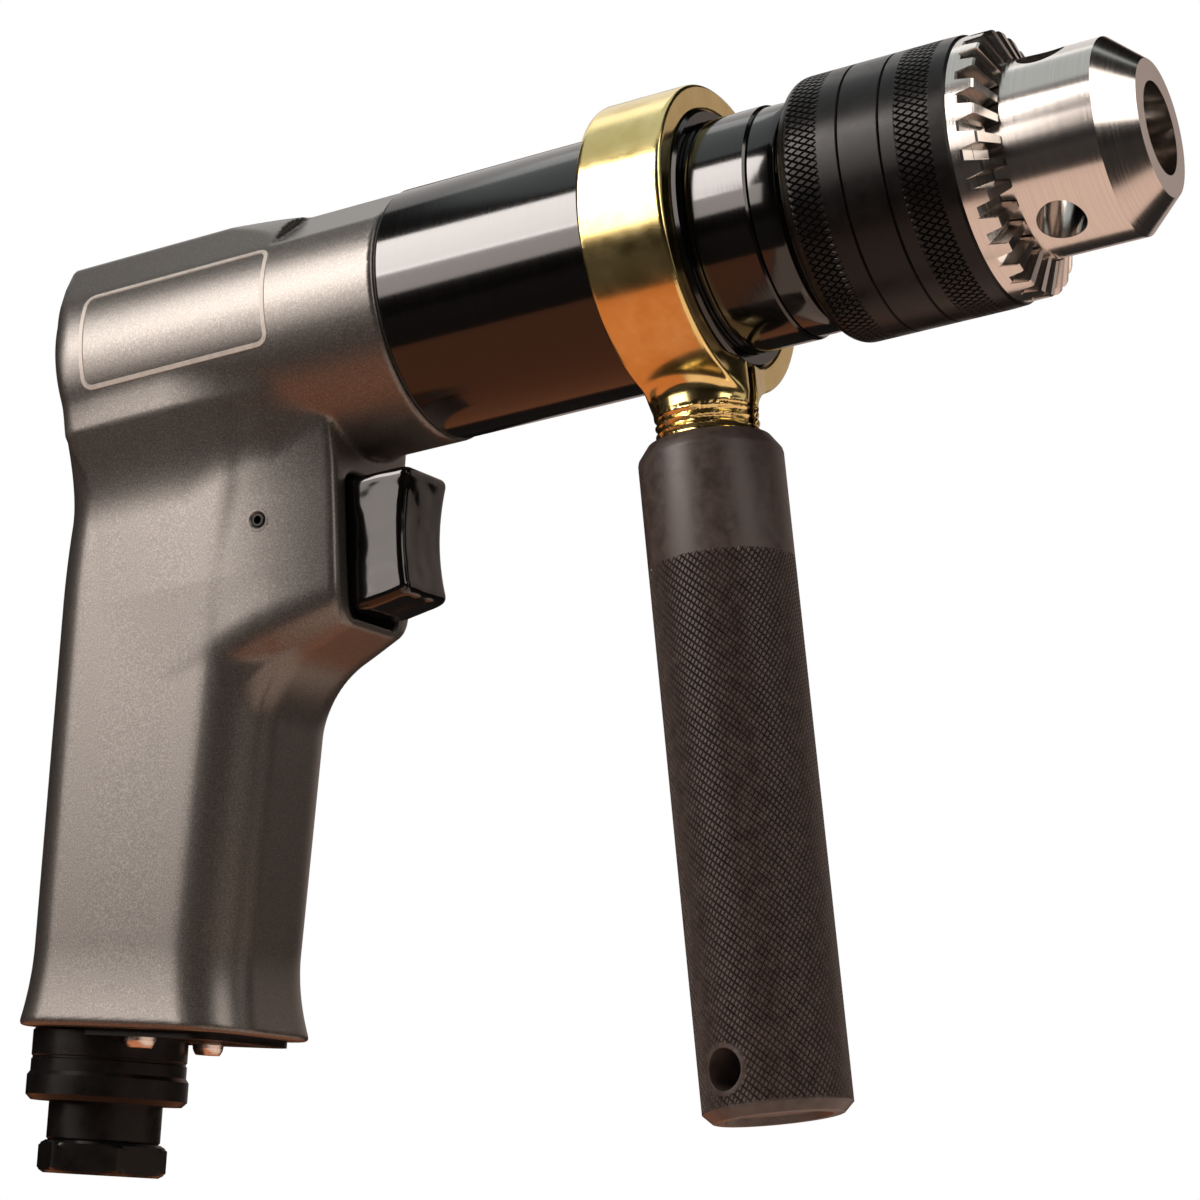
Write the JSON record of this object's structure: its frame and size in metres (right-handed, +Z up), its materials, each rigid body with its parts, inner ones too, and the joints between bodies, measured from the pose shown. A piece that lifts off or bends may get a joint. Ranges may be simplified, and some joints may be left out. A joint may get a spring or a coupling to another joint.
{
  "type": "air drill",
  "caption": "Pistol-grip air drill with a keyed chuck, a geared barrel, a push trigger, and a brass clamp that carries a knurled side handle.",
  "frame": {"origin": "centre of the flat face on the chuck's nose, on the spindle axis", "axes": "+X out of the chuck along the spindle, +Z up, away from the grip, +Y to the user's left"},
  "size_m": [0.2203, 0.052, 0.169],
  "materials": {
    "gunmetal_paint": "metallic satin",
    "blued_steel": "black gloss",
    "black_oxide": "black satin",
    "ground_steel": "polished",
    "machined_steel": "machined",
    "cast_brass": "polished",
    "bushing_brass": "machined",
    "black_plastic": "gloss",
    "black_rubber": "matte",
    "zinc": "bright",
    "cast_liner": "ground",
    "end_plate_alloy": "machined",
    "vane_laminate": "matte",
    "felt": "matte"
  },
  "bodies": {
    "tool_body": {"housing": "gunmetal_paint", "motor_cylinder": "cast_liner", "rear_end_plate": "end_plate_alloy", "front_end_plate": "end_plate_alloy", "rear_rotor_bearing": "machined_steel", "front_rotor_bearing": "machined_steel", "ring_gear": "machined_steel", "gear_case": "blued_steel", "case_seal": "black_rubber", "rear_spindle_bearing": "machined_steel", "front_spindle_bearing": "machined_steel", "bearing_cap": "blued_steel", "throttle_bushing": "bushing_brass", "roll_pin": "black_oxide", "inlet_bushing": "black_oxide", "inlet_fitting": "black_oxide", "inlet_screen": "machined_steel", "exhaust_plate": "black_oxide", "exhaust_screws": "zinc", "muffler_felt": "felt", "throttle_spring": "machined_steel"},
    "trigger": {"trigger": "black_plastic", "valve_stem": "machined_steel"},
    "rotor": {"rotor": "machined_steel", "rotor_vanes": "vane_laminate"},
    "first_carrier": {"first_carrier": "machined_steel", "first_planet_pins": "machined_steel"},
    "first_planet_a": {"first_planet_a": "machined_steel"},
    "first_planet_b": {"first_planet_b": "machined_steel"},
    "first_planet_c": {"first_planet_c": "machined_steel"},
    "spindle": {"spindle": "machined_steel", "second_planet_pins": "machined_steel", "chuck_body": "ground_steel", "chuck_screw": "black_oxide"},
    "second_planet_a": {"second_planet_a": "machined_steel"},
    "second_planet_b": {"second_planet_b": "machined_steel"},
    "second_planet_c": {"second_planet_c": "machined_steel"},
    "chuck_sleeve": {"chuck_sleeve": "black_oxide", "key_gear": "ground_steel", "chuck_nut": "machined_steel"},
    "jaw_a": {"jaw_a": "machined_steel"},
    "jaw_b": {"jaw_b": "machined_steel"},
    "jaw_c": {"jaw_c": "machined_steel"},
    "clamp": {"handle_clamp": "cast_brass"},
    "handle": {"side_handle": "black_oxide"}
  },
  "joints": [
    {"name": "trigger_slide", "type": "slide", "parent": "tool_body", "child": "trigger", "axis": [-1, 0, 0], "range_m": [0, 0.006], "stiffness_N_per_m": 900, "springref_m": -0.004, "deforming": ["throttle_spring"]},
    {"name": "spindle_spin", "type": "hinge", "parent": "tool_body", "child": "spindle", "pos_m": [-0.08, 0, 0], "axis": [1, 0, 0], "continuous": true},
    {"name": "first_carrier_spin", "type": "hinge", "parent": "tool_body", "child": "first_carrier", "pos_m": [-0.124, 0, 0], "axis": [1, 0, 0], "continuous": true},
    {"name": "rotor_spin", "type": "hinge", "parent": "tool_body", "child": "rotor", "pos_m": [-0.167, 0, 0], "axis": [1, 0, 0], "continuous": true},
    {"name": "second_planet_a_spin", "type": "hinge", "parent": "spindle", "child": "second_planet_a", "pos_m": [-0.1144, 0, -0.00936], "axis": [1, 0, 0], "continuous": true},
    {"name": "second_planet_b_spin", "type": "hinge", "parent": "spindle", "child": "second_planet_b", "pos_m": [-0.1144, 0.00811, 0.00468], "axis": [1, 0, 0], "continuous": true},
    {"name": "second_planet_c_spin", "type": "hinge", "parent": "spindle", "child": "second_planet_c", "pos_m": [-0.1144, -0.00811, 0.00468], "axis": [1, 0, 0], "continuous": true},
    {"name": "first_planet_a_spin", "type": "hinge", "parent": "first_carrier", "child": "first_planet_a", "pos_m": [-0.1327, 0, -0.00936], "axis": [1, 0, 0], "continuous": true},
    {"name": "first_planet_b_spin", "type": "hinge", "parent": "first_carrier", "child": "first_planet_b", "pos_m": [-0.1327, 0.00811, 0.00468], "axis": [1, 0, 0], "continuous": true},
    {"name": "first_planet_c_spin", "type": "hinge", "parent": "first_carrier", "child": "first_planet_c", "pos_m": [-0.1327, -0.00811, 0.00468], "axis": [1, 0, 0], "continuous": true},
    {"name": "chuck_sleeve_turn", "type": "hinge", "parent": "spindle", "child": "chuck_sleeve", "pos_m": [-0.04, 0, 0], "axis": [-1, 0, 0], "range_deg": [0, 4680]},
    {"name": "jaw_a_slide", "type": "slide", "parent": "spindle", "child": "jaw_a", "axis": [0.9613, 0.2756, 0], "range_m": [0, 0.0208]},
    {"name": "jaw_b_slide", "type": "slide", "parent": "spindle", "child": "jaw_b", "axis": [0.9613, -0.1378, 0.2387], "range_m": [0, 0.0208]},
    {"name": "jaw_c_slide", "type": "slide", "parent": "spindle", "child": "jaw_c", "axis": [0.9613, -0.1378, -0.2387], "range_m": [0, 0.0208]},
    {"name": "handle_swing", "type": "hinge", "parent": "tool_body", "child": "clamp", "pos_m": [-0.0816, 0, 0], "axis": [1, 0, 0], "continuous": true},
    {"name": "handle_turn", "type": "hinge", "parent": "clamp", "child": "handle", "pos_m": [-0.0816, 0, -0.09], "axis": [0, 0, -1], "range_deg": [0, 720]}
  ],
  "couplings": [
    {"joint": "first_carrier_spin", "follows": "spindle_spin", "ratio": 4.8},
    {"joint": "rotor_spin", "follows": "spindle_spin", "ratio": 23.04},
    {"joint": "second_planet_a_spin", "follows": "spindle_spin", "ratio": -2.7143},
    {"joint": "second_planet_b_spin", "follows": "spindle_spin", "ratio": -2.7143},
    {"joint": "second_planet_c_spin", "follows": "spindle_spin", "ratio": -2.7143},
    {"joint": "first_planet_a_spin", "follows": "spindle_spin", "ratio": -13.029},
    {"joint": "first_planet_b_spin", "follows": "spindle_spin", "ratio": -13.029},
    {"joint": "first_planet_c_spin", "follows": "spindle_spin", "ratio": -13.029},
    {"joint": "jaw_a_slide", "follows": "chuck_sleeve_turn", "m_per_rad": 0.00025464},
    {"joint": "jaw_b_slide", "follows": "chuck_sleeve_turn", "m_per_rad": 0.00025464},
    {"joint": "jaw_c_slide", "follows": "chuck_sleeve_turn", "m_per_rad": 0.00025464}
  ]
}
